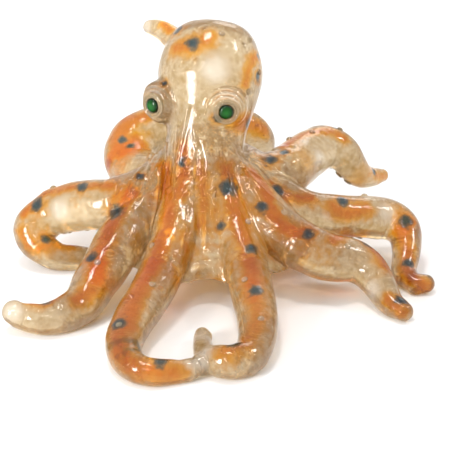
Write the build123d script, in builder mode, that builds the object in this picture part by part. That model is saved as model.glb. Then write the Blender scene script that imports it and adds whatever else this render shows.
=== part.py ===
from build123d import *

import math
import os

os.makedirs("parts", exist_ok=True)

# Octopus figurine in clear cast resin, millimetres.
# X runs across the figurine, -Y is the side it faces, +Z is up, and it stands on Z = 0.

# Driving dimensions
span = 150.0
eye_clearance = 0.1

# Sizes that follow the span, as shares of it
section_step_share = 0.0267
neck_radius_share = 0.095
mantle_length_share = 0.31
mantle_radius_share = 0.128
eye_radius_share = 0.018
eye_stem_share = 0.0133
bead_radius_share = 0.01
section_step = section_step_share * span
neck_radius = neck_radius_share * span
mantle_length = mantle_length_share * span
mantle_radius = mantle_radius_share * span
eye_radius = eye_radius_share * span
eye_stem = eye_stem_share * span
bead_radius = bead_radius_share * span

# Arm tables. A row is one cross-section of an arm, from inside the crown to the tip:
# its centre across, back and up, and half its thickness, as shares of the span.
front_right_shares = [
    (-0.022, 0.150, 0.220, 0.063),
    (0.012, 0.033, 0.180, 0.060),
    (0.045, -0.069, 0.123, 0.055),
    (0.065, -0.171, 0.083, 0.051),
    (0.078, -0.273, 0.060, 0.049),
    (0.081, -0.366, 0.047, 0.044),
    (0.064, -0.441, 0.035, 0.039),
    (0.033, -0.467, 0.036, 0.040),
    (-0.002, -0.463, 0.033, 0.037),
    (-0.031, -0.427, 0.025, 0.029),
    (-0.043, -0.369, 0.019, 0.023),
    (-0.043, -0.323, 0.020, 0.019),
]
front_left_shares = [
    (-0.059, 0.138, 0.220, 0.063),
    (-0.084, 0.033, 0.180, 0.060),
    (-0.107, -0.062, 0.133, 0.056),
    (-0.136, -0.139, 0.093, 0.053),
    (-0.170, -0.235, 0.065, 0.051),
    (-0.203, -0.325, 0.049, 0.047),
    (-0.217, -0.408, 0.037, 0.041),
    (-0.199, -0.470, 0.031, 0.035),
    (-0.165, -0.496, 0.028, 0.032),
    (-0.126, -0.497, 0.026, 0.030),
    (-0.096, -0.489, 0.023, 0.027),
    (-0.066, -0.481, 0.025, 0.024),
]
left_low_shares = [
    (-0.089, 0.180, 0.220, 0.060),
    (-0.148, 0.076, 0.187, 0.060),
    (-0.218, -0.008, 0.133, 0.060),
    (-0.247, -0.059, 0.113, 0.059),
    (-0.275, -0.119, 0.083, 0.056),
    (-0.299, -0.164, 0.064, 0.052),
    (-0.322, -0.213, 0.043, 0.047),
    (-0.360, -0.256, 0.038, 0.042),
    (-0.403, -0.270, 0.033, 0.037),
    (-0.445, -0.263, 0.035, 0.033),
    (-0.474, -0.259, 0.045, 0.029),
]
left_high_shares = [
    (-0.101, 0.180, 0.220, 0.060),
    (-0.172, 0.076, 0.200, 0.060),
    (-0.257, 0.059, 0.173, 0.061),
    (-0.341, 0.090, 0.150, 0.061),
    (-0.416, 0.115, 0.117, 0.057),
    (-0.462, 0.093, 0.079, 0.051),
    (-0.439, 0.062, 0.050, 0.041),
    (-0.400, 0.049, 0.031, 0.035),
    (-0.346, 0.051, 0.026, 0.030),
    (-0.298, 0.059, 0.021, 0.025),
    (-0.262, 0.075, 0.021, 0.020),
]
right_low_shares = [
    (0.034, 0.090, 0.220, 0.060),
    (0.098, -0.008, 0.173, 0.061),
    (0.175, -0.065, 0.127, 0.059),
    (0.253, -0.089, 0.097, 0.057),
    (0.311, -0.079, 0.083, 0.052),
    (0.348, -0.098, 0.067, 0.046),
    (0.374, -0.141, 0.047, 0.039),
    (0.396, -0.191, 0.027, 0.031),
    (0.423, -0.225, 0.024, 0.023),
]
right_middle_shares = [
    (0.046, 0.135, 0.227, 0.060),
    (0.114, 0.093, 0.187, 0.057),
    (0.203, 0.050, 0.153, 0.051),
    (0.302, 0.068, 0.130, 0.050),
    (0.376, 0.104, 0.108, 0.053),
    (0.417, 0.110, 0.097, 0.051),
    (0.445, 0.091, 0.086, 0.046),
    (0.453, 0.055, 0.071, 0.039),
    (0.450, 0.014, 0.048, 0.034),
    (0.442, -0.030, 0.027, 0.031),
    (0.457, -0.068, 0.022, 0.026),
    (0.489, -0.084, 0.023, 0.022),
]
right_high_shares = [
    (0.034, 0.165, 0.227, 0.060),
    (0.100, 0.132, 0.207, 0.061),
    (0.158, 0.161, 0.207, 0.062),
    (0.211, 0.253, 0.207, 0.060),
    (0.264, 0.313, 0.207, 0.056),
    (0.308, 0.316, 0.190, 0.048),
    (0.334, 0.310, 0.157, 0.040),
    (0.360, 0.328, 0.123, 0.034),
    (0.391, 0.357, 0.103, 0.026),
    (0.420, 0.388, 0.093, 0.019),
]
back_shares = [
    (-0.077, 0.210, 0.207, 0.060),
    (-0.153, 0.220, 0.167, 0.061),
    (-0.214, 0.289, 0.147, 0.063),
    (-0.239, 0.359, 0.165, 0.063),
    (-0.220, 0.409, 0.191, 0.063),
    (-0.174, 0.434, 0.207, 0.060),
    (-0.120, 0.448, 0.220, 0.057),
    (-0.060, 0.452, 0.223, 0.055),
    (-0.003, 0.436, 0.220, 0.052),
    (0.056, 0.434, 0.209, 0.051),
    (0.091, 0.445, 0.179, 0.048),
    (0.099, 0.467, 0.132, 0.041),
    (0.083, 0.493, 0.080, 0.033),
    (0.074, 0.503, 0.024, 0.024),
]

# Each arm with the row where it is bonded to its root on the crown
arms = {
    "arm_front_left": (front_left_shares, 3),
    "arm_front_right": (front_right_shares, 3),
    "arm_right_low": (right_low_shares, 2),
    "arm_right_middle": (right_middle_shares, 2),
    "arm_right_high": (right_high_shares, 2),
    "arm_back": (back_shares, 2),
    "arm_left_high": (left_high_shares, 2),
    "arm_left_low": (left_low_shares, 3),
}

# Neck, where the mantle is bonded to the crown. From there the mantle leans back about X
# and sways about Y, and its own shares count across, back and up from the neck.
neck_shares = (-0.037, 0.133, 0.287)
mantle_lean = 33.0
mantle_sway = 4.0
neck_centre = Vector(*neck_shares) * span
lean_axis = Vector(0, 0, 1).rotate(Axis.Y, mantle_sway).rotate(Axis.X, -mantle_lean)
mantle_across = Vector(1, 0, 0).rotate(Axis.Y, mantle_sway).rotate(Axis.X, -mantle_lean)
neck_plane = Plane(neck_centre, x_dir=mantle_across, z_dir=lean_axis)


def mantle_place(across, back, up):
    """A place on the mantle from its shares: two of its radius and one of its length."""
    local = (across * mantle_radius, back * mantle_radius, up * mantle_length)
    return neck_plane.from_local_coords(Vector(*local))


# Pointed tip of the mantle: rows of its own shares with half the thickness as a share of the
# radius, and the row where it is bonded on
mantle_tip_shares = [
    (-0.526, 0.349, 0.796, 0.273),
    (-0.695, 0.420, 0.864, 0.242),
    (-0.886, 0.531, 0.931, 0.211),
    (-1.066, 0.636, 0.977, 0.180),
    (-1.266, 0.765, 1.002, 0.141),
]
mantle_tip_joint = 2
mantle_tip_rows = []
for across, back, up, thickness in mantle_tip_shares:
    place = mantle_place(across, back, up) / span
    mantle_tip_rows.append((place.X, place.Y, place.Z, thickness * mantle_radius / span))

# Each eye: the middle of its seat in the mantle's shares, and the way it turns from the front
eyes = {
    "left": ((-1.009, -0.440, 0.269), -38.0),
    "right": ((0.354, -0.874, 0.223), 5.0),
}
eye_rise = 5.0


def eye_plane(seat_shares, turn):
    """Plane of an eye's seat, facing out of the head."""
    outward = Vector(0, -1, 0).rotate(Axis.X, -eye_rise).rotate(Axis.Z, turn)
    return Plane(mantle_place(*seat_shares), z_dir=outward)


def row_centre(row):
    """Centre of a cross-section in millimetres."""
    return Vector(row[0], row[1], row[2]) * span


def row_between(rows, index, share):
    """A smooth row, part of the way from one row of a table to the next."""
    near = [rows[max(index - 1, 0)], rows[index], rows[index + 1], rows[min(index + 2, len(rows) - 1)]]
    steps = [math.dist(near[k][:3], near[k + 1][:3]) for k in range(3)]
    blended = []
    for before, start, end, after in zip(*near):
        leave = (end - before) * steps[1] / (steps[0] + steps[1])
        arrive = (after - start) * steps[1] / (steps[1] + steps[2])
        value = start + leave * share * (1 - share) ** 2 - arrive * share**2 * (1 - share)
        value += (end - start) * share**2 * (3 - 2 * share)
        blended.append(value)
    return tuple(blended)


def smooth_rows(rows, first, last):
    """The rows of a table from first to last, with even steps between them."""
    smoothed = []
    for index in range(first, last):
        count = max(1, round(math.dist(rows[index][:3], rows[index + 1][:3]) * span / section_step))
        for step in range(count):
            smoothed.append(row_between(rows, index, step / count))
    smoothed.append(rows[last])
    return smoothed


def limb_planes(rows):
    """Planes square to a limb's route, one for each row, that never twist about it."""
    planes = []
    across = Vector(1, 0, 0)
    for index, row in enumerate(rows):
        before = row_centre(rows[max(index - 1, 0)])
        after = row_centre(rows[min(index + 1, len(rows) - 1)])
        along = (after - before).normalized()
        across = (across - along * across.dot(along)).normalized()
        planes.append(Plane(row_centre(row), x_dir=across, z_dir=along))
    return planes


def limb_stations(rows, joint):
    """A limb's cross-sections as (row, plane) pairs: those of its root and those beyond the joint."""
    root_rows = smooth_rows(rows, 0, joint)
    free_rows = smooth_rows(rows, joint, len(rows) - 1)
    planes = limb_planes(root_rows[:-1] + free_rows)
    cut = len(root_rows)
    return list(zip(root_rows, planes[:cut])), list(zip(free_rows, planes[cut - 1 :]))


def limb_sections(stations):
    """Round cross-sections of a limb, one for each station."""
    sections = []
    for row, plane in stations:
        with BuildSketch(plane) as section:
            Circle(row[3] * span)
        sections.append(section.sketch)
    return sections


def skin_plane(station, turn):
    """Plane on a limb's skin, facing outward, turned about the route from the top."""
    row, plane = station
    top = (Vector(0, 0, 1) - plane.z_dir * plane.z_dir.Z).normalized()
    outward = top.rotate(Axis((0, 0, 0), plane.z_dir), turn)
    return Plane(plane.origin + outward * row[3] * span, z_dir=outward)


# Stations of every limb, shared by the pieces on both sides of each joint
roots = {}
limbs = {}
for name, (rows, joint) in arms.items():
    roots[name], limbs[name] = limb_stations(rows, joint)
tip_root, tip_limb = limb_stations(mantle_tip_rows, mantle_tip_joint)

# Mantle: the egg-shaped head with two mounds for the eyes and the root of its pointed tip.
# The outline runs from the neck to the crest, as shares of the radius and the length.
mantle_outline_shares = [(0.80, 0.19), (0.945, 0.41), (1.0, 0.59), (0.855, 0.83)]
mound_radius_share = 0.0573
mound_seat_share = 0.0477
mound_radius = mound_radius_share * span
mound_seat = mound_seat_share * span
outline_plane = Plane(neck_centre, x_dir=neck_plane.x_dir, z_dir=neck_plane.x_dir.cross(lean_axis))
outline_points = [(across * mantle_radius, up * mantle_length) for across, up in mantle_outline_shares]
with BuildPart() as mantle:
    with BuildSketch(outline_plane):
        with BuildLine():
            Line((0, mantle_length), (0, 0))
            Line((0, 0), (neck_radius, 0))
            Spline((neck_radius, 0), *outline_points, (0, mantle_length), tangents=((0, 1), (-1, 0)))
        make_face()
    revolve(axis=Axis(neck_centre, lean_axis))
    loft(limb_sections(tip_root))
    for seat_shares, turn in eyes.values():
        seat = eye_plane(seat_shares, turn)
        with Locations(seat.offset(-mound_seat).location):
            Sphere(mound_radius)
        with BuildSketch(seat):
            Circle(mound_radius)
        extrude(amount=mound_radius, mode=Mode.SUBTRACT)
        with BuildSketch(seat):
            Circle(eye_radius + eye_clearance)
        extrude(amount=-eye_stem, mode=Mode.SUBTRACT)
mantle.part.label = "mantle"
export_step(mantle.part, "parts/mantle.step")

# Mantle tip: the small horn that curls off the back of the head
tip_row, tip_plane = tip_limb[-1]
with BuildPart() as mantle_tip:
    loft(limb_sections(tip_limb))
    with Locations(tip_plane.location):
        Sphere(tip_row[3] * span, arc_size1=0, align=(Align.CENTER, Align.CENTER, Align.MIN))
mantle_tip.part.label = "mantle_tip"
export_step(mantle_tip.part, "parts/mantle_tip.step")

# Eyes: a lid ring with two ridges on each seat, and a domed eye whose stem sits in the socket
lid_outer_share = 0.0293
lid_valley_share = 0.024
lid_edge_share = 0.002
lid_height_share = 0.008
eye_height_share = 0.0147
lid_outer = lid_outer_share * span
lid_valley = lid_valley_share * span
lid_edge = lid_edge_share * span
lid_height = lid_height_share * span
eye_height = eye_height_share * span
lid_inner = eye_radius + eye_clearance
outer_ridge = ((lid_outer + lid_valley) / 2, lid_height)
inner_ridge = ((lid_valley + lid_inner) / 2, lid_height)
for side, (seat_shares, turn) in eyes.items():
    seat = eye_plane(seat_shares, turn)
    outward = Axis(seat.origin, seat.z_dir)
    eye_profile = Plane(seat.origin, x_dir=seat.x_dir, z_dir=seat.x_dir.cross(seat.z_dir))
    with BuildPart() as eye_lid:
        with BuildSketch(eye_profile):
            with BuildLine():
                Polyline((lid_inner, lid_height / 2), (lid_inner, 0), (lid_outer, 0), (lid_outer, lid_edge))
                ThreePointArc((lid_outer, lid_edge), outer_ridge, (lid_valley, lid_height / 2))
                ThreePointArc((lid_valley, lid_height / 2), inner_ridge, (lid_inner, lid_height / 2))
            make_face()
        revolve(axis=outward)
    eye_lid.part.label = f"eye_lid_{side}"
    export_step(eye_lid.part, f"parts/eye_lid_{side}.step")
    with BuildPart() as eye:
        with BuildSketch(eye_profile):
            with BuildLine():
                Polyline((0, eye_height), (0, -eye_stem), (eye_radius, -eye_stem), (eye_radius, lid_height / 2))
                Spline((eye_radius, lid_height / 2), (0, eye_height), tangents=((0, 1), (-1, 0)))
            make_face()
        revolve(axis=outward)
    eye.part.label = f"eye_{side}"
    export_step(eye.part, f"parts/eye_{side}.step")

# Crown: a leaning neck that flares into a skirt, scalloped into webs between the arm roots.
# A row of the core is a level circle: its centre and its radius, as shares of the span.
core_shares = [
    (-0.033, 0.117, 0.213, 0.120),
    (-0.027, 0.100, 0.143, 0.173),
    (-0.020, 0.087, 0.060, 0.247),
]
core_leans = [18.0, 6.0, 0.0]
scallop_share = 0.55
skirt_row = core_shares[-1]
skirt_centre = Vector(skirt_row[0], skirt_row[1]) * span
skirt_radius = skirt_row[3] * span
joint_stations = [stations[0] for stations in limbs.values()]
with BuildPart() as crown:
    with BuildSketch(neck_plane) as neck:
        Circle(neck_radius)
    core_sections = [neck.sketch]
    for row, lean in zip(core_shares, core_leans):
        with BuildSketch(Plane(row_centre(row), z_dir=Vector(0, 0, 1).rotate(Axis.X, -lean))) as ring:
            Circle(row[3] * span)
        core_sections.append(ring.sketch)
    loft(core_sections)
    for (row, plane), (next_row, next_plane) in zip(joint_stations, joint_stations[1:] + joint_stations[:1]):
        start = Vector(plane.origin.X, plane.origin.Y)
        end = Vector(next_plane.origin.X, next_plane.origin.Y)
        radius = ((end - start).length - (row[3] + next_row[3]) * span) / 2
        if radius > bead_radius:
            outward = ((start + end) / 2 - skirt_centre).normalized()
            middle = skirt_centre + outward * (skirt_radius + radius * (1 - scallop_share))
            with Locations(middle):
                Cylinder(radius, span, mode=Mode.SUBTRACT)
    for stations in roots.values():
        loft(limb_sections(stations))
    add(mantle.part, mode=Mode.SUBTRACT)
crown.part.label = "arm_crown"
export_step(crown.part, "parts/arm_crown.step")

# Arms: tapered limbs with a round tip, cut flat where they rest and scribed to the crown
arm_parts = {}
for name, stations in limbs.items():
    tip_row, tip_plane = stations[-1]
    with BuildPart() as arm:
        loft(limb_sections(stations))
        Box(2 * span, 2 * span, span, align=(Align.CENTER, Align.CENTER, Align.MAX), mode=Mode.SUBTRACT)
        with Locations(tip_plane.location):
            Sphere(tip_row[3] * span, arc_size1=0, align=(Align.CENTER, Align.CENTER, Align.MIN))
        add(crown.part, mode=Mode.SUBTRACT)
    arm.part.label = name
    arm_parts[name] = arm.part
    export_step(arm.part, f"parts/{name}.step")

# Skin beads: small raised drops of clear resin, each seated on the skin that carries it.
# A place is a limb, the number of a station along it and a turn about its route from the top.
crown_beads = [("arm_front_left", 10, 35.0), ("arm_front_right", 9, -20.0), ("arm_right_low", 7, 10.0)]
arm_beads = [
    ("arm_front_left", 4, -20.0),
    ("arm_front_left", 10, 15.0),
    ("arm_front_right", 2, 25.0),
    ("arm_front_right", 8, -10.0),
    ("arm_right_low", 4, 30.0),
    ("arm_right_middle", 6, -25.0),
    ("arm_right_high", 3, -30.0),
    ("arm_right_high", 5, 5.0),
    ("arm_right_high", 8, -10.0),
    ("arm_back", 8, 60.0),
    ("arm_back", 20, 20.0),
    ("arm_left_high", 5, 10.0),
    ("arm_left_low", 4, -10.0),
]
# A place on the mantle is a point of its outline and a turn about its lean from the front.
mantle_beads = [(3, 12.0), (3, 57.0), (2, 68.0), (1, 52.0)]
with BuildPart() as skin_beads:
    for limb, index, turn in crown_beads:
        with Locations(skin_plane(roots[limb][index], turn).location):
            Sphere(bead_radius)
    for limb, index, turn in arm_beads:
        with Locations(skin_plane(limbs[limb][index], turn).location):
            Sphere(bead_radius)
    for index, turn in mantle_beads:
        across, up = outline_points[index]
        outward = (neck_plane.y_dir * -1).rotate(Axis((0, 0, 0), lean_axis), turn)
        with Locations(neck_centre + lean_axis * up + outward * across):
            Sphere(bead_radius)
    add(mantle.part, mode=Mode.SUBTRACT)
    add(crown.part, mode=Mode.SUBTRACT)
    for carrier in arm_parts.values():
        add(carrier, mode=Mode.SUBTRACT)
skin_beads.part.label = "skin_beads"
export_step(skin_beads.part, "parts/skin_beads.step")

# Suckers: a row of shallow cups under each stretch of arm that stands clear of the ground,
# given as the first and last station that may carry one
sucker_runs = {
    "arm_right_high": (1, 12),
    "arm_right_middle": (1, 6),
    "arm_left_high": (1, 6),
    "arm_back": (3, 18),
}
sucker_radius_share = 0.2
sucker_height_share = 0.0053
sucker_spacing_share = 0.026
sucker_height = sucker_height_share * span
sucker_spacing = sucker_spacing_share * span
for limb, (first, last) in sucker_runs.items():
    last_place = neck_centre
    with BuildPart() as suckers:
        for station in limbs[limb][first : last + 1]:
            cup_radius = station[0][3] * span * sucker_radius_share
            seat = skin_plane(station, 180.0)
            if (seat.origin - last_place).length < sucker_spacing:
                continue
            last_place = seat.origin
            with BuildSketch(seat.offset(-sucker_height)):
                Circle(cup_radius)
            extrude(amount=2 * sucker_height)
            with Locations(seat.offset(sucker_height + cup_radius / 2).location):
                Sphere(cup_radius, mode=Mode.SUBTRACT)
        add(arm_parts[limb], mode=Mode.SUBTRACT)
    name = limb.replace("arm", "suckers")
    suckers.part.label = name
    export_step(suckers.part, f"parts/{name}.step")
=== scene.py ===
import math

import bmesh
import bpy
import numpy as np
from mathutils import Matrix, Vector, noise
from mathutils.bvhtree import BVHTree


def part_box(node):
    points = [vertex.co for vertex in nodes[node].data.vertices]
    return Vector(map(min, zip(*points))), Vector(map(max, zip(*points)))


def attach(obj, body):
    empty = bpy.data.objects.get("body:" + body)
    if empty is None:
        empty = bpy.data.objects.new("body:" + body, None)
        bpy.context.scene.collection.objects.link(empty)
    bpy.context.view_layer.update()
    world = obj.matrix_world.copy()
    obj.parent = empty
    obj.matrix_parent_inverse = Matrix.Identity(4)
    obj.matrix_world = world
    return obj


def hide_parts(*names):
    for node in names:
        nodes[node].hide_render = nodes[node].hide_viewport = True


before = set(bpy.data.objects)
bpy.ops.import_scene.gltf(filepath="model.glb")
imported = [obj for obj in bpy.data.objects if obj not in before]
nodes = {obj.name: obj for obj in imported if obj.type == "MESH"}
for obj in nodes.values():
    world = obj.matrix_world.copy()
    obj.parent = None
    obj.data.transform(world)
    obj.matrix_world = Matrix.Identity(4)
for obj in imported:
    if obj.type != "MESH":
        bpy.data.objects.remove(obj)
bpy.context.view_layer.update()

# Camera: stands a little over half a metre in front of the figurine and looks down on it.
# Relief and paint are placed later by where they show in this view.
image_size = 470.0
focal_length = 1740.0
camera = bpy.data.objects.new("camera", bpy.data.cameras.new("camera"))
camera.location = (0.0, -0.5635, 0.2951)
camera.rotation_mode = "QUATERNION"
camera.rotation_quaternion = Vector((0.0080, 0.8970, -0.4428)).to_track_quat("-Z", "Y")
camera.data.sensor_width = 36.0
camera.data.lens = camera.data.sensor_width * focal_length / image_size
camera.data.clip_start, camera.data.clip_end = 0.01, 20.0
bpy.context.scene.collection.objects.link(camera)
bpy.context.scene.camera = camera

# Clear resin casting: mantle, horn, crown and eight arms are bonded with cement of the same
# resin, so the skin runs over the joints. It is moulded whole here and parted at the joints below.
resin_nodes = ["mantle", "mantle_tip", "arm_crown", "arm_front_left", "arm_front_right",
               "arm_right_low", "arm_right_middle", "arm_right_high", "arm_back",
               "arm_left_high", "arm_left_low"]
mould_cell, polish_share, polish_rounds = 0.00055, 0.5, 8
weld_radius, weld_place = 0.0040, (-0.0064, -0.0694, 0.0040)
moulding = bmesh.new()
carrier_points, carrier_faces, carrier_names = [], [], []
for name in resin_nodes:
    solid = bmesh.new()
    solid.from_mesh(nodes[name].data)
    bmesh.ops.remove_doubles(solid, verts=solid.verts, dist=1e-6)
    first = len(carrier_points)
    carrier_points += [vertex.co.copy() for vertex in solid.verts]
    carrier_faces += [[first + vertex.index for vertex in face.verts] for face in solid.faces]
    carrier_names += [name] * len(solid.faces)
    welded = bpy.data.meshes.new(name + "_welded")
    solid.to_mesh(welded)
    solid.free()
    moulding.from_mesh(welded)
    bpy.data.meshes.remove(welded)
tip_weld = bmesh.ops.create_icosphere(moulding, subdivisions=4, radius=weld_radius)["verts"]
bmesh.ops.translate(moulding, verts=tip_weld, vec=weld_place)
casting = bpy.data.objects.new("casting", bpy.data.meshes.new("casting"))
moulding.to_mesh(casting.data)
moulding.free()
bpy.context.scene.collection.objects.link(casting)
mould = casting.modifiers.new("mould", "REMESH")
mould.mode, mould.voxel_size, mould.use_smooth_shade = "VOXEL", mould_cell, True
polish = casting.modifiers.new("polish", "SMOOTH")
polish.factor, polish.iterations = polish_share, polish_rounds
depsgraph = bpy.context.evaluated_depsgraph_get()
skin = bpy.data.meshes.new_from_object(casting.evaluated_get(depsgraph))
bpy.data.objects.remove(casting)

points = np.empty(len(skin.vertices) * 3, np.float32)
skin.vertices.foreach_get("co", points)
points = points.reshape(-1, 3)
facing = np.empty(len(skin.vertices) * 3, np.float32)
skin.vertex_normals.foreach_get("vector", facing)
facing = facing.reshape(-1, 3)
shell = BVHTree.FromPolygons([tuple(place) for place in points.tolist()],
                             [tuple(face.vertices) for face in skin.polygons])
search_pixels, search_turns = 30, 12
noise_steps = (3.1, 1.7, 2.3)


def seen_at(across, down):
    """Place on the skin that shows at a pixel of the view, or at one beside it where none shows."""
    for reach in range(search_pixels):
        for turn in range(search_turns if reach else 1):
            angle = turn * math.tau / search_turns
            right = across + reach * math.cos(angle) - image_size / 2
            below = down + reach * math.sin(angle) - image_size / 2
            aim = Vector((right / focal_length, -below / focal_length, -1.0))
            sight = (camera.rotation_quaternion @ aim).normalized()
            place = shell.ray_cast(camera.location, sight)[0]
            if place is not None:
                return np.array(place, np.float32)
    raise ValueError("nothing shows there")


def rounded(line, steps):
    """A line of pixels with its corners rounded, and steps places between each two."""
    line = np.array([line[0], *line, line[-1]], float)
    shares = (np.arange(steps) / steps)[:, None]
    runs = []
    for before, start, end, after in zip(line, line[1:], line[2:], line[3:]):
        bend = 2 * before - 5 * start + 4 * end - after
        turn = 3 * (start - end) + after - before
        runs.append(start + shares * ((end - before) + shares * (bend + shares * turn)) / 2)
    return np.vstack(runs + [line[-1:]])


def distance_to(line, steps):
    """Distance of every point of the skin from a line of pixels that is drawn on it."""
    places = [seen_at(*pixel) for pixel in rounded(line, steps)]
    nearest = np.full(len(points), 1.0, np.float32)
    for start, end in zip(places, places[1:]):
        run = end - start
        share = np.clip((points - start) @ run / max(float(run @ run), 1e-12), 0, 1)
        away = np.linalg.norm(points - start - share[:, None] * run, axis=1)
        nearest = np.minimum(nearest, away)
    return nearest


def ripple(size, seed):
    """Smooth noise over the skin, from -1 to 1, with swellings about as wide as size."""
    shift = Vector([seed * step for step in noise_steps])
    values = [noise.noise(Vector(place) / size + shift) for place in points.tolist()]
    return np.array(values, np.float32)


# Relief of the casting: drips of resin that ran down the crown, furrows between them, small
# raised drops and slow swellings left by the hand-made mould. Drips and furrows are lines of
# pixels, each with its height or depth and its width.
drips = [
    (0.00050, 0.00075, [(188, 106), (184, 130), (180, 150), (176, 176), (173, 200)]),
    (0.00045, 0.00065, [(168, 136), (161, 168), (158, 198), (152, 226), (147, 256)]),
    (0.00045, 0.00060, [(174, 142), (169, 170), (166, 200)]),
    (0.00050, 0.00070, [(203, 140), (208, 164), (205, 196), (206, 226), (205, 246)]),
    (0.00040, 0.00060, [(216, 142), (219, 166), (214, 196), (213, 216)]),
    (0.00045, 0.00065, [(229, 142), (246, 170), (262, 188), (283, 206)]),
    (0.00040, 0.00060, [(236, 158), (258, 176), (284, 192), (300, 198)]),
    (0.00040, 0.00060, [(226, 150), (238, 184), (250, 216), (260, 250)]),
    (0.00045, 0.00065, [(157, 146), (142, 168), (124, 188), (112, 204)]),
    (0.00040, 0.00060, [(163, 152), (150, 178), (136, 198), (128, 216)]),
    (0.00040, 0.00060, [(232, 286), (241, 308), (246, 334)]),
    (0.00035, 0.00060, [(262, 222), (290, 238), (320, 246)]),
    (0.00035, 0.00050, [(178, 128), (175, 160), (171, 190)]),
    (0.00035, 0.00050, [(196, 146), (193, 176), (192, 206)]),
    (0.00035, 0.00050, [(211, 150), (213, 180), (216, 210)]),
    (0.00035, 0.00050, [(222, 152), (228, 182), (232, 212)]),
    (0.00030, 0.00050, [(242, 160), (252, 184), (264, 206)]),
    (0.00030, 0.00050, [(232, 146), (252, 160), (276, 172)]),
    (0.00030, 0.00050, [(151, 150), (146, 176), (138, 200)]),
    (0.00030, 0.00050, [(186, 206), (184, 236), (180, 262)]),
    (0.00030, 0.00050, [(220, 216), (222, 246), (222, 268)]),
]
furrows = [
    (0.00050, 0.0011, [(171, 150), (165, 182), (160, 214)]),
    (0.00045, 0.0010, [(196, 150), (196, 186), (199, 226), (205, 262)]),
    (0.00045, 0.0010, [(224, 152), (236, 190), (248, 226), (260, 256)]),
    (0.00040, 0.0010, [(152, 156), (134, 184), (120, 204)]),
    (0.00035, 0.0010, [(272, 214), (300, 228), (318, 236)]),
]
drops = [(169, 190), (188, 188), (176, 210), (186, 228), (168, 257), (149, 279), (153, 284),
         (130, 296), (163, 289), (212, 194), (230, 216), (242, 256), (260, 316), (110, 253),
         (186, 162), (142, 124), (288, 156), (292, 146), (324, 132), (258, 128), (332, 268),
         (122, 187), (134, 189), (203, 27), (245, 46), (196, 62), (224, 132)]
drip_steps = 5
drop_radius, drop_height = 0.0012, 0.00055
moat_depth_share, moat_radius_share, moat_width_share = 0.3, 1.5, 0.35
swell_height, swell_size, small_swell_share = 0.00022, 0.009, 1 / 3
raised = swell_height * ripple(swell_size, 1)
raised += swell_height * small_swell_share * ripple(swell_size * small_swell_share, 2)
for height, width, line in drips:
    raised += height * np.exp(-(distance_to(line, drip_steps) / width) ** 2)
for depth, width, line in furrows:
    raised -= depth * np.exp(-(distance_to(line, drip_steps) / width) ** 2)
for pixel in drops:
    away = np.linalg.norm(points - seen_at(*pixel), axis=1) / drop_radius
    moat = np.exp(-((away - moat_radius_share) / moat_width_share) ** 2)
    raised += drop_height * (np.exp(-away**4) - moat_depth_share * moat)

# Eye folds: three soft rings of skin above and beside each eye, modelled by hand before the
# mould was made and cast with the head. The grooves between them get painted shade: orange-brown
# paint that darkens them where shade falls.
eye_turns, eye_lift = {"eye_left": -38.0, "eye_right": 5.0}, 0.09
fold_radii = [0.0052, 0.0064, 0.0077]
fold_height, fold_width, fold_gap, fold_depth = 0.00045, 0.00042, 0.0006, 0.012
fold_level, fold_rise = 0.35, 0.006
eye_places = {}
fold_groove_shade = np.zeros(len(points), np.float32)
for name, turn in eye_turns.items():
    lowest, highest = (np.array(corner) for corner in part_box(name))
    middle = (lowest + highest) / 2
    turn = math.radians(turn)
    outward = np.array((math.sin(turn), -math.cos(turn), eye_lift), np.float32)
    outward /= np.linalg.norm(outward)
    away = points - middle.astype(np.float32)
    depth = away @ outward
    flat = away - depth[:, None] * outward
    radius = np.linalg.norm(flat, axis=1)
    upper = np.clip(fold_level + flat[:, 2] / fold_rise, 0, 1) * (np.abs(depth) < fold_depth)
    for fold_radius in fold_radii:
        raised += fold_height * upper * np.exp(-((radius - fold_radius) / fold_width) ** 2)
        groove = np.exp(-((radius - fold_radius + fold_gap) / fold_width) ** 2)
        # Painted shade: the upper grooves between the folds are marked for darker paint.
        fold_groove_shade = np.maximum(fold_groove_shade, upper * groove)
    eye_places[name] = (middle, outward)
points += facing * raised[:, None]
points[:, 2] = np.maximum(points[:, 2], 0.0)
skin.vertices.foreach_set("co", points.ravel())
skin.update()
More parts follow.
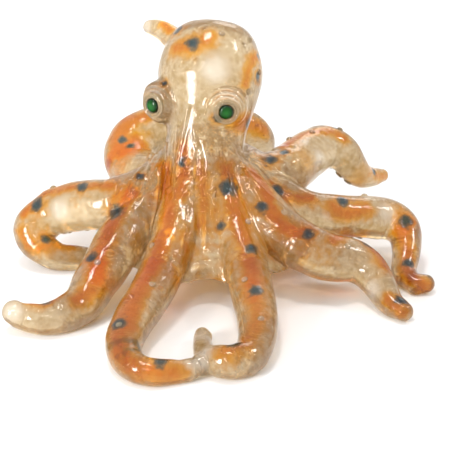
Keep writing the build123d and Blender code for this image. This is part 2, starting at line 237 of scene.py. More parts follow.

# Airbrushed paint: soft orange patches on the tops of the arms, dark blue spots in their middles
# and pale milky patches on the tips and the head, sprayed freehand. The pale patches are partly
# milky paint and partly painted highlight for the light that shines through the clear resin. A stroke
# is its width, its strength and a line of pixels, and a spot, a pale patch or a window of bare resin
# is a pixel and a radius in pixels.
orange_strokes = [
    (0.0050, 0.95, [(166, 168), (168, 200), (166, 232), (150, 268), (136, 296), (126, 326)]),
    (0.0060, 0.80, [(128, 300), (118, 330), (122, 356), (146, 370), (176, 372)]),
    (0.0045, 0.90, [(184, 150), (182, 176), (178, 196)]),
    (0.0055, 0.85, [(226, 170), (232, 196), (244, 236), (252, 270), (254, 300)]),
    (0.0055, 0.70, [(256, 300), (256, 326), (242, 344), (224, 352)]),
    (0.0040, 0.75, [(200, 168), (204, 200), (200, 226)]),
    (0.0045, 0.90, [(252, 172), (266, 190), (270, 208), (284, 228), (306, 232)]),
    (0.0040, 0.85, [(334, 240), (352, 236), (372, 248), (386, 266)]),
    (0.0035, 0.80, [(388, 300), (402, 312)]),
    (0.0035, 0.80, [(272, 186), (288, 196), (312, 198)]),
    (0.0048, 0.85, [(334, 206), (346, 214), (366, 208)]),
    (0.0045, 0.90, [(402, 230), (408, 254), (408, 272), (424, 286)]),
    (0.0035, 0.85, [(284, 146), (300, 136), (326, 130), (344, 138)]),
    (0.0030, 0.75, [(376, 176), (386, 176)]),
    (0.0045, 0.90, [(108, 164), (118, 142), (132, 122), (146, 116)]),
    (0.0050, 0.95, [(240, 122), (252, 124), (264, 130)]),
    (0.0032, 0.80, [(24, 214), (44, 194), (78, 186), (110, 186)]),
    (0.0042, 0.75, [(22, 232), (34, 248), (52, 244), (70, 246)]),
    (0.0050, 0.90, [(130, 194), (112, 222), (100, 254), (96, 282), (78, 300)]),
    (0.0090, 0.40, [(270, 216), (290, 236), (322, 250)]),
    (0.0060, 0.95, [(128, 118), (116, 136), (122, 150), (136, 140)]),
    (0.0040, 0.80, [(30, 302), (44, 304), (60, 296)]),
    (0.0048, 0.80, [(176, 48), (194, 46), (208, 38)]),
    (0.0035, 0.80, [(246, 84), (250, 66), (256, 56)]),
    (0.0028, 0.85, [(163, 24), (170, 30)]),
]
blue_spots = [(193, 43, 6.5), (258, 76, 4.5), (258, 56, 3.5), (228, 188, 8.5), (252, 248, 6.0),
              (256, 290, 7.0), (233, 344, 6.5), (119, 323, 7.0), (160, 361, 6.0), (116, 213, 7.5),
              (91, 258, 6.0), (45, 303, 5.5), (82, 187, 6.0), (37, 205, 7.0), (46, 239, 5.5),
              (262, 206, 6.0), (308, 234, 6.0), (367, 242, 5.5), (402, 300, 5.5), (277, 190, 6.0),
              (343, 201, 6.5), (406, 221, 7.5), (409, 263, 5.5), (270, 160, 6.0), (284, 152, 4.5),
              (334, 127, 6.0), (374, 171, 5.0), (248, 124, 5.5), (122, 140, 4.5), (130, 146, 4.0),
              (165, 84, 3.2), (178, 30, 5.5), (218, 119, 4.0), (182, 163, 4.5), (140, 176, 4.0),
              (221, 226, 4.5)]
pale_tips_and_highlights = [(154, 92, 11.0), (150, 120, 8.0), (228, 98, 13.0), (146, 27, 9.0), (202, 335, 11.0),
              (206, 352, 9.0), (200, 363, 8.0), (12, 312, 12.0), (60, 210, 12.0), (372, 290, 10.0),
              (330, 214, 8.0), (388, 212, 12.0), (320, 160, 12.0), (215, 70, 16.0), (190, 366, 8.0)]
clear_windows = [(355, 222, 24), (366, 262, 18), (322, 162, 22), (74, 210, 34), (36, 318, 34),
                 (222, 80, 34), (204, 124, 34), (126, 346, 18), (206, 340, 24), (344, 252, 20),
                 (60, 256, 16), (258, 140, 18)]
pixel_size, groove_shade_strength = 0.000365, 0.42
patch_size, edge_size, grain_size = 0.011, 0.0032, 0.0012
patch_noise, edge_noise = ripple(patch_size, 3), ripple(edge_size, 4)
grain_noise = ripple(grain_size, 5)
stroke_steps, stroke_edge_wander, stroke_patch_wander = 3, 0.30, 0.22
stroke_wander = 1 + stroke_edge_wander * edge_noise + stroke_patch_wander * patch_noise
# The orange starts from the painted shade in the grooves of the eye folds.
orange = groove_shade_strength * fold_groove_shade
for width, strength, line in orange_strokes:
    away = distance_to(line, stroke_steps) / width
    orange = np.maximum(orange, strength * np.exp(-(away * stroke_wander) ** 2))
# The crown has a thin wash of orange all over.
wash_middle, wash_radius, wash_strength = (-0.004, -0.006, 0.016), 0.036, 0.38
wash_patches, wash_edges = 0.40, 0.25
from_middle = np.linalg.norm(points - np.array(wash_middle, np.float32), axis=1) / wash_radius
wash = wash_strength + wash_patches * patch_noise + wash_edges * edge_noise
orange = np.maximum(orange, np.exp(-from_middle**4) * wash)
# The side away from the camera gets the same paint at places of its own, apart from the stretches
# whose clear resin shows it: the windows, the back of the crown and the flats that it rests on.
crown_middle, crown_radius, crown_fade = (-0.004, 0.020), 0.030, 0.006
hidden_rise, lowest_paint, surely_hidden = 4, 0.004, 0.99
far_strength, far_patches, far_most = 0.40, 1.5, 0.90
far_seed, far_spacing, far_cover, far_radii = 11, 0.017, 0.028, (0.0014, 0.0022)
seen_through_arm, spot_clearance = (0.0260, 0.0409, 0.0247), 0.008
eye_point = np.array(camera.location, np.float32)
to_camera = eye_point - points
turned_away = -np.sum(facing * to_camera, axis=1) / np.linalg.norm(to_camera, axis=1)
from_crown = np.linalg.norm(points[:, :2] - crown_middle, axis=1)
behind_crown = np.clip((crown_radius - from_crown) / crown_fade, 0, 1)
hidden = np.clip(turned_away * hidden_rise, 0, 1) * (points[:, 2] > lowest_paint) * (1 - behind_crown)
turned = np.array(camera.rotation_quaternion.to_matrix(), np.float32)
sighted = (points - eye_point) @ turned
pixels = image_size / 2 + focal_length * sighted[:, :2] / -sighted[:, 2:] * (1, -1)
for across, down, radius in clear_windows:
    hidden *= 1 - np.exp(-(np.linalg.norm(pixels - (across, down), axis=1) / radius) ** 4)
orange = np.maximum(orange, hidden * np.clip(far_strength + far_patches * patch_noise, 0, far_most))
chooser = np.random.default_rng(far_seed)
spot_places = [(seen_at(across, down), radius * pixel_size) for across, down, radius in blue_spots]
for index in chooser.permutation(np.flatnonzero(hidden > surely_hidden)):
    if min(np.linalg.norm(points[index] - place) for place, radius in spot_places) > far_spacing:
        spot = Vector(points[index])
        cover = shell.ray_cast(camera.location, (spot - camera.location).normalized())[0]
        if (cover - spot).length > far_cover:
            spot_places.append((points[index], chooser.uniform(*far_radii)))
# Every blue spot bleeds into an orange halo.
spot_edges, spot_grains, halo_strength, halo_spread, tip_patches = 0.45, 0.25, 0.85, 2.1, 0.2
spot_wander = 1 + spot_edges * edge_noise + spot_grains * grain_noise
blue = np.zeros(len(points), np.float32)
for place, radius in spot_places:
    if np.linalg.norm(np.array(place) - seen_through_arm) < spot_clearance:
        continue
    away = np.linalg.norm(points - place, axis=1) * spot_wander
    blue = np.maximum(blue, np.exp(-(away / radius) ** 2))
    orange = np.maximum(orange, halo_strength * np.exp(-(away / (radius * halo_spread)) ** 2))
# Pale patches on the tips and the head: partly milky paint, partly painted highlight for the light
# that shines through the clear resin.
milk = np.zeros(len(points), np.float32)
for across, down, radius in pale_tips_and_highlights:
    away = np.linalg.norm(points - seen_at(across, down), axis=1) / (radius * pixel_size)
    milk = np.maximum(milk, np.exp(-(away * (1 + tip_patches * patch_noise)) ** 2))
for name, values in {"orange": orange, "blue": blue, "milk": milk}.items():
    skin.attributes.new(name, "FLOAT", "POINT").data.foreach_set("value", values)

wave_detail, wave_roughness, wave_distortion = 5.0, 0.58, 0.6
bubble_closeness, bubble_edge, bubble_top, bubble_height = 3.0, 0.30, 0.08, 0.45


def cast_ripple(tree, size, height):
    """Bump of the polished casting: faint waves left by the mould, and small bubbles in the gloss."""
    group = bpy.data.node_groups.get("cast ripple")
    if group is None:
        group = bpy.data.node_groups.new("cast ripple", "ShaderNodeTree")
        group.interface.new_socket("Size", in_out="INPUT", socket_type="NodeSocketFloat")
        group.interface.new_socket("Height", in_out="INPUT", socket_type="NodeSocketFloat")
        group.interface.new_socket("Normal", in_out="OUTPUT", socket_type="NodeSocketVector")
        inside, outside = group.nodes.new("NodeGroupInput"), group.nodes.new("NodeGroupOutput")
        place = group.nodes.new("ShaderNodeTexCoord")
        scale = group.nodes.new("ShaderNodeMath")
        scale.operation = "DIVIDE"
        scale.inputs[0].default_value = 1.0
        waves = group.nodes.new("ShaderNodeTexNoise")
        waves.inputs["Detail"].default_value = wave_detail
        waves.inputs["Roughness"].default_value = wave_roughness
        waves.inputs["Distortion"].default_value = wave_distortion
        bump = group.nodes.new("ShaderNodeBump")
        bump.inputs["Strength"].default_value = 1.0
        group.links.new(inside.outputs["Size"], scale.inputs[1])
        group.links.new(scale.outputs[0], waves.inputs["Scale"])
        group.links.new(place.outputs["Object"], waves.inputs["Vector"])
        group.links.new(inside.outputs["Height"], bump.inputs["Distance"])
        bubbles = group.nodes.new("ShaderNodeTexVoronoi")
        closer = group.nodes.new("ShaderNodeMath")
        closer.operation = "MULTIPLY"
        closer.inputs[1].default_value = bubble_closeness
        dome = group.nodes.new("ShaderNodeMapRange")
        dome.interpolation_type = "SMOOTHSTEP"
        dome.inputs["From Min"].default_value = bubble_edge
        dome.inputs["From Max"].default_value = bubble_top
        both = group.nodes.new("ShaderNodeMath")
        both.operation = "MULTIPLY_ADD"
        both.inputs[1].default_value = bubble_height
        group.links.new(scale.outputs[0], closer.inputs[0])
        group.links.new(closer.outputs[0], bubbles.inputs["Scale"])
        group.links.new(place.outputs["Object"], bubbles.inputs["Vector"])
        group.links.new(bubbles.outputs["Distance"], dome.inputs["Value"])
        group.links.new(dome.outputs["Result"], both.inputs[0])
        group.links.new(waves.outputs["Fac"], both.inputs[2])
        group.links.new(both.outputs[0], bump.inputs["Height"])
        group.links.new(bump.outputs["Normal"], outside.inputs["Normal"])
    ripples = tree.nodes.new("ShaderNodeGroup")
    ripples.node_tree = group
    ripples.inputs["Size"].default_value = size
    ripples.inputs["Height"].default_value = height
    return ripples


resin_clearness, resin_index, resin_roughness, resin_shine = 0.78, 1.50, 0.055, 0.28
clear_amber = (0.70, 0.565, 0.36, 1)
deep_amber = (0.46, 0.295, 0.115, 1)
cloud_scale, cloud_detail, cloud_roughness = 70.0, 6.0, 0.80
grain_scale, grain_detail = 480.0, 4.0
mottle_first, mottle_full = 0.36, 0.66
speckle_depth, dust_depth = 0.50, 2.4
skin_ripple_size, skin_ripple_height = 0.0045, 0.00021
# The milky layer is partly painted highlight; the orange layers also carry the painted shade of the
# eye-fold grooves.
paint_layers = [
    ("milk", 0.15, 0.95, (0.86, 0.79, 0.68, 1)),
    ("orange", 0.10, 0.65, (0.68, 0.28, 0.012, 1)),
    ("orange", 0.45, 0.95, (0.64, 0.118, 0.0008, 1)),
    ("blue", 0.08, 0.50, (0.14, 0.085, 0.022, 1)),
    ("blue", 0.25, 0.90, (0.008, 0.028, 0.050, 1)),
]


def painted_resin():
    """Clear amber resin, mottled and dusty, with the layers of paint sprayed over it in turn; the
    milky layer is partly painted highlight and the orange partly painted shade in the eye folds.
    """
    material = bpy.data.materials.new("painted clear resin")
    material.use_nodes = True
    tree = material.node_tree
    shader = tree.nodes["Principled BSDF"]
    shader.inputs["Transmission Weight"].default_value = resin_clearness
    shader.inputs["IOR"].default_value = resin_index
    shader.inputs["Roughness"].default_value = resin_roughness
    shader.inputs["Specular IOR Level"].default_value = resin_shine
    place = tree.nodes.new("ShaderNodeTexCoord")
    clouds = tree.nodes.new("ShaderNodeTexNoise")
    clouds.inputs["Scale"].default_value = cloud_scale
    clouds.inputs["Detail"].default_value = cloud_detail
    clouds.inputs["Roughness"].default_value = cloud_roughness
    tree.links.new(place.outputs["Object"], clouds.inputs["Vector"])
    grain = tree.nodes.new("ShaderNodeTexNoise")
    grain.inputs["Scale"].default_value = grain_scale
    grain.inputs["Detail"].default_value = grain_detail
    tree.links.new(place.outputs["Object"], grain.inputs["Vector"])
    mottle = tree.nodes.new("ShaderNodeMapRange")
    mottle.inputs["From Min"].default_value = mottle_first
    mottle.inputs["From Max"].default_value = mottle_full
    tree.links.new(clouds.outputs["Fac"], mottle.inputs["Value"])
    amber = tree.nodes.new("ShaderNodeMix")
    amber.data_type = "RGBA"
    amber.inputs["A"].default_value = clear_amber
    amber.inputs["B"].default_value = deep_amber
    dust = tree.nodes.new("ShaderNodeMath")
    dust.operation = "MULTIPLY_ADD"
    dust.inputs[1].default_value = dust_depth
    settled = tree.nodes.new("ShaderNodeMath")
    settled.operation = "ADD"
    settled.inputs[1].default_value = -dust_depth / 2
    settled.use_clamp = True
    tree.links.new(grain.outputs["Fac"], dust.inputs[0])
    tree.links.new(mottle.outputs["Result"], dust.inputs[2])
    tree.links.new(dust.outputs[0], settled.inputs[0])
    tree.links.new(settled.outputs[0], amber.inputs["Factor"])
    colour = amber
    for layer, first, full, value in paint_layers:
        spray = tree.nodes.new("ShaderNodeAttribute")
        spray.attribute_name = layer
        speckle = tree.nodes.new("ShaderNodeMath")
        speckle.operation = "MULTIPLY_ADD"
        speckle.inputs[1].default_value = speckle_depth
        edge = tree.nodes.new("ShaderNodeMath")
        edge.operation = "ADD"
        edge.inputs[1].default_value = -speckle_depth / 2
        cover = tree.nodes.new("ShaderNodeMapRange")
        cover.interpolation_type = "SMOOTHSTEP"
        cover.inputs["From Min"].default_value = first
        cover.inputs["From Max"].default_value = full
        mix = tree.nodes.new("ShaderNodeMix")
        mix.data_type = "RGBA"
        mix.inputs["B"].default_value = value
        tree.links.new(grain.outputs["Fac"], speckle.inputs[0])
        tree.links.new(spray.outputs["Fac"], speckle.inputs[2])
        tree.links.new(speckle.outputs[0], edge.inputs[0])
        tree.links.new(edge.outputs[0], cover.inputs["Value"])
        tree.links.new(cover.outputs["Result"], mix.inputs["Factor"])
        tree.links.new(colour.outputs["Result"], mix.inputs["A"])
        colour = mix
    tree.links.new(colour.outputs["Result"], shader.inputs["Base Color"])
    ripples = cast_ripple(tree, skin_ripple_size, skin_ripple_height)
    tree.links.new(ripples.outputs["Normal"], shader.inputs["Normal"])
    return material


resin = painted_resin()

# Cemented joints: clean cuts through the casting, filled with cement that has the resin's own
# refractive index, so that neither face of a joint shows. A cut is the outer piece, the inner
# one, the middle of the joint and the way it faces, and its radius, in millimetres.
cement = bpy.data.materials.new("clear cement")
cement.use_nodes = True
cement.node_tree.nodes["Principled BSDF"].inputs["Alpha"].default_value = 0.0
joint_cuts = [
    ("mantle", "arm_crown", (-5.55, 19.95, 43.05), (0.07, 0.543, 0.837), 14.25),
    ("mantle_tip", "mantle", (-19.5, 52.67, 74.71), (-0.689, 0.676, 0.261), 4.05),
    ("arm_front_left", "arm_crown", (-20.4, -20.85, 13.95), (-0.326, -0.873, -0.362), 7.95),
    ("arm_front_right", "arm_crown", (9.75, -25.65, 12.45), (0.152, -0.945, -0.289), 7.65),
    ("arm_right_low", "arm_crown", (26.25, -9.75, 19.05), (0.821, -0.411, -0.396), 8.85),
    ("arm_right_middle", "arm_crown", (30.45, 7.5, 22.95), (0.951, -0.134, -0.279), 7.65),
    ("arm_right_high", "arm_crown", (23.7, 24.15, 31.05), (0.715, 0.699, 0.019), 9.3),
    ("arm_back", "arm_crown", (-32.1, 43.35, 22.05), (-0.508, 0.861, 0.018), 9.45),
    ("arm_left_high", "arm_crown", (-38.55, 8.85, 25.95), (-0.954, 0.12, -0.276), 9.15),
    ("arm_left_low", "arm_crown", (-37.05, -8.85, 16.95), (-0.42, -0.836, -0.352), 8.85),
]
joint_band, joint_reach_share, millimetres = 0.003, 1.4, 1000
parting = bmesh.new()
parting.from_mesh(skin)
joints = [(outer, inner, Vector(centre) / millimetres, Vector(axis).normalized(),
           radius * joint_reach_share / millimetres)
          for outer, inner, centre, axis, radius in joint_cuts]
for outer, inner, centre, axis, reach in joints:
    near = [face for face in parting.faces if (face.calc_center_median() - centre).length < reach]
    edges = dict.fromkeys(edge for face in near for edge in face.edges)
    corners = dict.fromkeys(vertex for face in near for vertex in face.verts)
    bmesh.ops.bisect_plane(parting, geom=[*near, *edges, *corners], plane_co=centre,
                           plane_no=axis, dist=1e-6)
parting.normal_update()
parting.verts.index_update()
skin_points = [vertex.co.copy() for vertex in parting.verts]
skin_normals = [vertex.normal.copy() for vertex in parting.verts]
skin_paint = {}
for name in ("orange", "blue", "milk"):
    layer = parting.verts.layers.float[name]
    skin_paint[name] = [vertex[layer] for vertex in parting.verts]
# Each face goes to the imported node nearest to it, and beside a joint to its own side of the cut.
carrier_tree = BVHTree.FromPolygons(carrier_points, carrier_faces)
parting.faces.index_update()
carriers = []
for face in parting.faces:
    middle = face.calc_center_median()
    carrier = carrier_names[carrier_tree.find_nearest(middle)[2]]
    for outer, inner, centre, axis, reach in joints:
        above = (middle - centre).dot(axis)
        beside_joint = (middle - centre).length < reach and abs(above) < joint_band
        if carrier in (outer, inner) and beside_joint:
            carrier = outer if above > 0 else inner
    carriers.append(carrier)
# A stray island of faces goes to the piece round it, so that every piece stays whole.
islands, met = {name: [] for name in resin_nodes}, set()
for face in parting.faces:
    if face.index in met:
        continue
    name, island, front = carriers[face.index], [], [face]
    met.add(face.index)
    while front:
        island += front
        beside = dict.fromkeys(other for near in front for edge in near.edges
                               for other in edge.link_faces)
        front = [other for other in beside if other.index not in met and carriers[other.index] == name]
        met.update(other.index for other in front)
    islands[name].append(island)
for name, found in islands.items():
    for island in sorted(found, key=len)[:-1]:
        beside = [carriers[other.index] for face in island for edge in face.edges
                  for other in edge.link_faces]
        keeper = max(sorted(set(beside) - {name}), key=beside.count, default="trapped air")
        for face in island:
            carriers[face.index] = keeper
parted = {name: [] for name in [*resin_nodes, "trapped air"]}
for face in parting.faces:
    parted[carriers[face.index]].append([vertex.index for vertex in face.verts])
parting.free()
# Each piece is closed by its faces of cement, and shaded by the normals of the whole skin.
for name in resin_nodes:
    used = sorted({corner for face in parted[name] for corner in face})
    order = {corner: index for index, corner in enumerate(used)}
    faces = [[order[corner] for corner in face] for face in parted[name]]
    mesh = bpy.data.meshes.new(name + "_skin")
    mesh.from_pydata([skin_points[corner] for corner in used], [], faces)
    for layer, values in skin_paint.items():
        paint = mesh.attributes.new(layer, "FLOAT", "POINT")
        paint.data.foreach_set("value", [values[corner] for corner in used])
    closing = bmesh.new()
    closing.from_mesh(mesh)
    rim = [edge for edge in closing.edges if edge.is_boundary]
    for face in bmesh.ops.holes_fill(closing, edges=rim, sides=0)["faces"]:
        face.material_index = 1
    bmesh.ops.recalc_face_normals(closing, faces=closing.faces)
    closing.to_mesh(mesh)
    closing.free()
    mesh.polygons.foreach_set("use_smooth", [True] * len(mesh.polygons))
    corner_normals = []
    for face in mesh.polygons:
        if face.material_index == 0:
            corner_normals += [skin_normals[used[corner]] for corner in face.vertices]
        else:
            corner_normals += [face.normal] * len(face.vertices)
    mesh.normals_split_custom_set(corner_normals)
    mesh.materials.append(resin)
    mesh.materials.append(cement)
    piece = bpy.data.objects.new(name + "_skin", mesh)
    bpy.context.scene.collection.objects.link(piece)
    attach(piece, "root")
    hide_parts(name)

# Skin drops: flattened beads of the same resin, dripped on by hand after the casting was made.
# Each sits on the place of its packed bead.
drop_roughness, drop_ripple_size, drop_ripple_height = 0.05, 0.0015, 0.00004
drop_sizes = {"Radius": 0.0012, "Height": 0.0008}
clear_resin = bpy.data.materials.new("clear resin")
clear_resin.use_nodes = True
clear_shader = clear_resin.node_tree.nodes["Principled BSDF"]
clear_shader.inputs["Base Color"].default_value = clear_amber
clear_shader.inputs["Transmission Weight"].default_value = resin_clearness
clear_shader.inputs["IOR"].default_value = resin_index
clear_shader.inputs["Roughness"].default_value = drop_roughness
drop_ripples = cast_ripple(clear_resin.node_tree, drop_ripple_size, drop_ripple_height)
clear_resin.node_tree.links.new(drop_ripples.outputs["Normal"], clear_shader.inputs["Normal"])


def solid_places(node):
    """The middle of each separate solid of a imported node, and the way the skin faces there."""
    solid = bmesh.new()
    solid.from_mesh(nodes[node].data)
    bmesh.ops.remove_doubles(solid, verts=solid.verts, dist=1e-6)
    waiting, places = dict.fromkeys(solid.verts), []
    while waiting:
        front = [next(iter(waiting))]
        del waiting[front[0]]
        group = list(front)
        while front:
            beside = dict.fromkeys(edge.other_vert(vertex) for vertex in front
                                   for edge in vertex.link_edges)
            front = [vertex for vertex in beside if vertex in waiting]
            for vertex in front:
                del waiting[vertex]
            group += front
        middle = sum((vertex.co for vertex in group), Vector()) / len(group)
        foot, normal = shell.find_nearest(middle)[:2]
        places.append((foot, normal))
    solid.free()
    return places


def repeated(name, node, tree, sizes):
    """One plain mesh of the shape that a node tree makes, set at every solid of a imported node."""
    places = solid_places(node)
    mesh = bpy.data.meshes.new(name)
    mesh.from_pydata([foot for foot, normal in places], [], [])
    turned = mesh.attributes.new("outward", "FLOAT_VECTOR", "POINT")
    turned.data.foreach_set("vector", [value for foot, normal in places for value in normal])
    piece = bpy.data.objects.new(name, mesh)
    bpy.context.scene.collection.objects.link(piece)
    maker = piece.modifiers.new("repeat", "NODES")
    maker.node_group = tree
    for socket in tree.interface.items_tree:
        if socket.name in sizes:
            maker[socket.identifier] = sizes[socket.name]
    depsgraph = bpy.context.evaluated_depsgraph_get()
    made = bpy.data.meshes.new_from_object(piece.evaluated_get(depsgraph))
    piece.modifiers.clear()
    piece.data = made
    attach(piece, "root")
    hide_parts(node)
    return piece


def repeat_tree(name, size_names):
    """A node tree with an input for each size, whose shape is set on points and turned outward."""
    tree = bpy.data.node_groups.new(name, "GeometryNodeTree")
    tree.interface.new_socket("Geometry", in_out="INPUT", socket_type="NodeSocketGeometry")
    for size_name in size_names:
        tree.interface.new_socket(size_name, in_out="INPUT", socket_type="NodeSocketFloat")
    tree.interface.new_socket("Geometry", in_out="OUTPUT", socket_type="NodeSocketGeometry")
    entry, leaving = tree.nodes.new("NodeGroupInput"), tree.nodes.new("NodeGroupOutput")
    outward = tree.nodes.new("GeometryNodeInputNamedAttribute")
    outward.data_type = "FLOAT_VECTOR"
    outward.inputs["Name"].default_value = "outward"
    turn = tree.nodes.new("FunctionNodeAlignRotationToVector")
    turn.axis = "Z"
    spread = tree.nodes.new("GeometryNodeInstanceOnPoints")
    whole = tree.nodes.new("GeometryNodeRealizeInstances")
    smooth = tree.nodes.new("GeometryNodeSetShadeSmooth")
    finish = tree.nodes.new("GeometryNodeSetMaterial")
    finish.inputs["Material"].default_value = clear_resin
    tree.links.new(outward.outputs["Attribute"], turn.inputs["Vector"])
    tree.links.new(entry.outputs["Geometry"], spread.inputs["Points"])
    tree.links.new(turn.outputs["Rotation"], spread.inputs["Rotation"])
    tree.links.new(spread.outputs["Instances"], whole.inputs["Geometry"])
    tree.links.new(whole.outputs["Geometry"], smooth.inputs["Geometry"])
    tree.links.new(smooth.outputs["Geometry"], finish.inputs["Geometry"])
    tree.links.new(finish.outputs["Geometry"], leaving.inputs["Geometry"])
    return tree, entry, spread


drop_tree, entry, spread = repeat_tree("resin drop", ["Radius", "Height"])
ball = drop_tree.nodes.new("GeometryNodeMeshUVSphere")
ball.inputs["Segments"].default_value, ball.inputs["Rings"].default_value = 24, 14
ball.inputs["Radius"].default_value = 1.0
flatten = drop_tree.nodes.new("GeometryNodeTransform")
shape = drop_tree.nodes.new("ShaderNodeCombineXYZ")
drop_tree.links.new(entry.outputs["Radius"], shape.inputs["X"])
drop_tree.links.new(entry.outputs["Radius"], shape.inputs["Y"])
drop_tree.links.new(entry.outputs["Height"], shape.inputs["Z"])
drop_tree.links.new(shape.outputs["Vector"], flatten.inputs["Scale"])
drop_tree.links.new(ball.outputs["Mesh"], flatten.inputs["Geometry"])
drop_tree.links.new(flatten.outputs["Geometry"], spread.inputs["Instance"])
beads = repeated("resin_drops", "skin_beads", drop_tree, drop_sizes)

# Suckers: small open cups of the clear resin, cemented in a row under each raised arm. Each
# is a rolled rim round a shallow floor, and sits on the place of its packed cup.
cup_sizes = {"Rim Radius": 0.00125, "Rim Thickness": 0.00042, "Floor Height": 0.00025}
cup_tree, entry, spread = repeat_tree("sucker cup", ["Rim Radius", "Rim Thickness", "Floor Height"])
ring_path = cup_tree.nodes.new("GeometryNodeCurvePrimitiveCircle")
ring_path.inputs["Resolution"].default_value = 24
ring_section = cup_tree.nodes.new("GeometryNodeCurvePrimitiveCircle")
ring_section.inputs["Resolution"].default_value = 10
rim = cup_tree.nodes.new("GeometryNodeCurveToMesh")
floor_ball = cup_tree.nodes.new("GeometryNodeMeshUVSphere")
floor_ball.inputs["Segments"].default_value, floor_ball.inputs["Rings"].default_value = 24, 10
floor_ball.inputs["Radius"].default_value = 1.0
floor_shape = cup_tree.nodes.new("ShaderNodeCombineXYZ")
floor_flat = cup_tree.nodes.new("GeometryNodeTransform")
cup = cup_tree.nodes.new("GeometryNodeJoinGeometry")
cup_tree.links.new(entry.outputs["Rim Radius"], ring_path.inputs["Radius"])
cup_tree.links.new(entry.outputs["Rim Thickness"], ring_section.inputs["Radius"])
cup_tree.links.new(ring_path.outputs["Curve"], rim.inputs["Curve"])
cup_tree.links.new(ring_section.outputs["Curve"], rim.inputs["Profile Curve"])
cup_tree.links.new(entry.outputs["Rim Radius"], floor_shape.inputs["X"])
cup_tree.links.new(entry.outputs["Rim Radius"], floor_shape.inputs["Y"])
cup_tree.links.new(entry.outputs["Floor Height"], floor_shape.inputs["Z"])
cup_tree.links.new(floor_shape.outputs["Vector"], floor_flat.inputs["Scale"])
cup_tree.links.new(floor_ball.outputs["Mesh"], floor_flat.inputs["Geometry"])
cup_tree.links.new(rim.outputs["Mesh"], cup.inputs["Geometry"])
cup_tree.links.new(floor_flat.outputs["Geometry"], cup.inputs["Geometry"])
cup_tree.links.new(cup.outputs["Geometry"], spread.inputs["Instance"])
for run in ("right_high", "right_middle", "left_high", "back"):
    cups = repeated("sucker_cups_" + run, "suckers_" + run, cup_tree, cup_sizes)

# Eye lids: ridged rings of the clear resin, turned as separate pieces and cemented into the
# face round each eye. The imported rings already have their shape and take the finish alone.
for name in ("eye_lid_left", "eye_lid_right"):
    nodes[name].data.materials.clear()
    nodes[name].data.materials.append(clear_resin)

# Eyes: domes of dark green glass paste, cast on short stems and pushed into the sockets of the
# head. The paste is brightest in the middle and nearly black at its edge.
iris_radius, iris_wander, fleck_scale = 0.0029, 0.0004, 900.0
eye_roughness, eye_shine = 0.03, 0.30
bright_green, edge_green = (0.002, 0.115, 0.004, 1), (0.001, 0.008, 0.002, 1)
deep_green, deep_green_share = (0.001, 0.055, 0.002, 1), 0.60


def green_eye(name):
    """Dark green glass paste, brighter in the middle, with a nearly black edge."""
    middle, outward = eye_places[name]
    material = bpy.data.materials.new("green " + name.replace("_", " "))
    material.use_nodes = True
    tree = material.node_tree
    shader = tree.nodes["Principled BSDF"]
    shader.inputs["Roughness"].default_value = eye_roughness
    shader.inputs["Specular IOR Level"].default_value = eye_shine
    place = tree.nodes.new("ShaderNodeTexCoord")
    across = tree.nodes.new("ShaderNodeVectorMath")
    across.operation = "SUBTRACT"
    across.inputs[1].default_value = tuple(float(value) for value in middle)
    aside = tree.nodes.new("ShaderNodeVectorMath")
    aside.operation = "CROSS_PRODUCT"
    aside.inputs[1].default_value = tuple(float(value) for value in outward)
    reach = tree.nodes.new("ShaderNodeVectorMath")
    reach.operation = "LENGTH"
    flecks = tree.nodes.new("ShaderNodeTexNoise")
    flecks.inputs["Scale"].default_value = fleck_scale
    wander = tree.nodes.new("ShaderNodeMath")
    wander.operation = "MULTIPLY_ADD"
    wander.inputs[1].default_value = iris_wander
    iris = tree.nodes.new("ShaderNodeValToRGB")
    iris.color_ramp.elements[0].color = bright_green
    iris.color_ramp.elements[1].color = edge_green
    iris.color_ramp.elements.new(deep_green_share).color = deep_green
    share = tree.nodes.new("ShaderNodeMath")
    share.operation = "DIVIDE"
    share.inputs[1].default_value = iris_radius
    tree.links.new(place.outputs["Object"], across.inputs[0])
    tree.links.new(across.outputs["Vector"], aside.inputs[0])
    tree.links.new(aside.outputs["Vector"], reach.inputs[0])
    tree.links.new(place.outputs["Object"], flecks.inputs["Vector"])
    tree.links.new(flecks.outputs["Fac"], wander.inputs[0])
    tree.links.new(reach.outputs["Value"], wander.inputs[2])
    tree.links.new(wander.outputs[0], share.inputs[0])
    tree.links.new(share.outputs[0], iris.inputs["Fac"])
    tree.links.new(iris.outputs["Color"], shader.inputs["Base Color"])
    return material


for name in ("eye_left", "eye_right"):
    nodes[name].data.materials.clear()
    nodes[name].data.materials.append(green_eye(name))

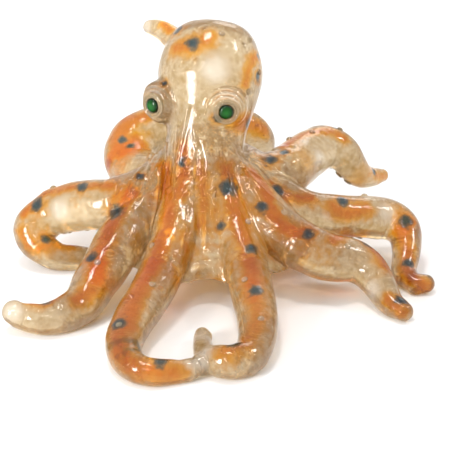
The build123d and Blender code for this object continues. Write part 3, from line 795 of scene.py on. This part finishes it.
# Studio: the figurine stands on a pale floor between soft boxes in front, above, behind and at
# the sides. The sky is white where it is seen straight on, mirrored or through the resin, and
# a little dimmer where it lights the floor and the paint.
floor_reach, floor_grey, floor_roughness = 3, (0.92, 0.92, 0.92, 1), 0.9
floor_mesh = bpy.data.meshes.new("floor")
floor_corners = [(-floor_reach, -floor_reach, 0), (floor_reach, -floor_reach, 0),
                 (floor_reach, floor_reach, 0), (-floor_reach, floor_reach, 0)]
floor_mesh.from_pydata(floor_corners, [], [(0, 1, 2, 3)])
floor = bpy.data.objects.new("floor", floor_mesh)
bpy.context.scene.collection.objects.link(floor)
paper = bpy.data.materials.new("pale floor")
paper.use_nodes = True
paper.node_tree.nodes["Principled BSDF"].inputs["Base Color"].default_value = floor_grey
paper.node_tree.nodes["Principled BSDF"].inputs["Roughness"].default_value = floor_roughness
floor_mesh.materials.append(paper)
soft_boxes = [("front", (-0.30, -0.70, 0.85), 0.13, 0.13, 1.1),
              ("left", (-0.63, -0.58, 0.30), 0.20, 0.42, 7.5),
              ("back", (0.25, 0.9, 0.6), 0.45, 0.45, 1.4),
              ("right", (0.8, 0.1, 0.8), 0.18, 0.18, 2.0),
              ("top", (-0.15, 0.05, 1.2), 0.22, 0.22, 3.5)]
lit_place = Vector((0, 0, 0.03))
for name, place, width, height, power in soft_boxes:
    lamp = bpy.data.objects.new(name, bpy.data.lights.new(name, "AREA"))
    lamp.data.shape, lamp.data.energy = "ELLIPSE", power
    lamp.data.size, lamp.data.size_y = width, height
    lamp.location = place
    lamp.rotation_mode = "QUATERNION"
    lamp.rotation_quaternion = (lit_place - Vector(place)).to_track_quat("-Z", "Y")
    bpy.context.scene.collection.objects.link(lamp)
sky_light = 0.82
world = bpy.data.worlds.new("studio")
bpy.context.scene.world = world
world.use_nodes = True
sky = world.node_tree
rays = sky.nodes.new("ShaderNodeLightPath")
seen, mirrored, level = (sky.nodes.new("ShaderNodeMath") for part in range(3))
seen.operation = mirrored.operation = "MAXIMUM"
level.operation = "MULTIPLY_ADD"
level.inputs[1].default_value, level.inputs[2].default_value = 1 - sky_light, sky_light
sky.links.new(rays.outputs["Is Camera Ray"], seen.inputs[0])
sky.links.new(rays.outputs["Is Transmission Ray"], seen.inputs[1])
sky.links.new(seen.outputs[0], mirrored.inputs[0])
sky.links.new(rays.outputs["Is Glossy Ray"], mirrored.inputs[1])
sky.links.new(mirrored.outputs[0], level.inputs[0])
sky.links.new(level.outputs[0], sky.nodes["Background"].inputs["Strength"])
sky.nodes["Background"].inputs["Color"].default_value = (1, 1, 1, 1)
bpy.context.scene.view_settings.view_transform = "Standard"
